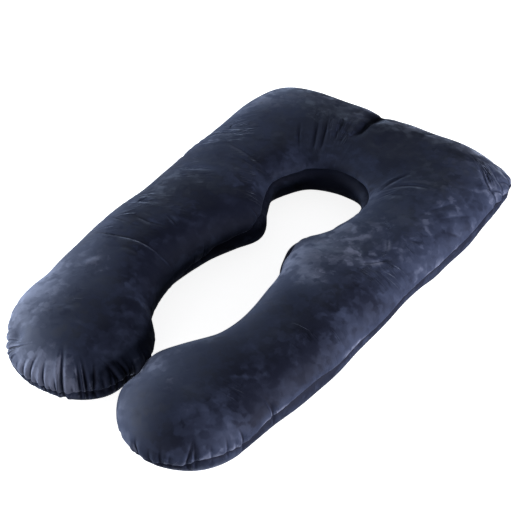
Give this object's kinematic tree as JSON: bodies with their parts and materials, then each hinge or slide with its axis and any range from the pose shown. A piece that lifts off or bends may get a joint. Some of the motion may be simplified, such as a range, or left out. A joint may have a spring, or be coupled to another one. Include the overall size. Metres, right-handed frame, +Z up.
{
  "type": "body pillow",
  "caption": "U-shaped stuffed body pillow of plush, with a round neck opening, a narrow waist and round feet that almost meet; it lies flat on a bed or floor.",
  "frame": {"origin": "on the floor, under the middle of the pillow's bounding box", "axes": "+X to the right across the pillow, +Y from the feet to the head, +Z up from the side that it lies on"},
  "size_m": [0.8108, 1.3794, 0.1729],
  "materials": {
    "navy_plush": "short soft pile, brushed in patches"
  },
  "bodies": {
    "root": {"body_pillow": "navy_plush"}
  },
  "joints": []
}
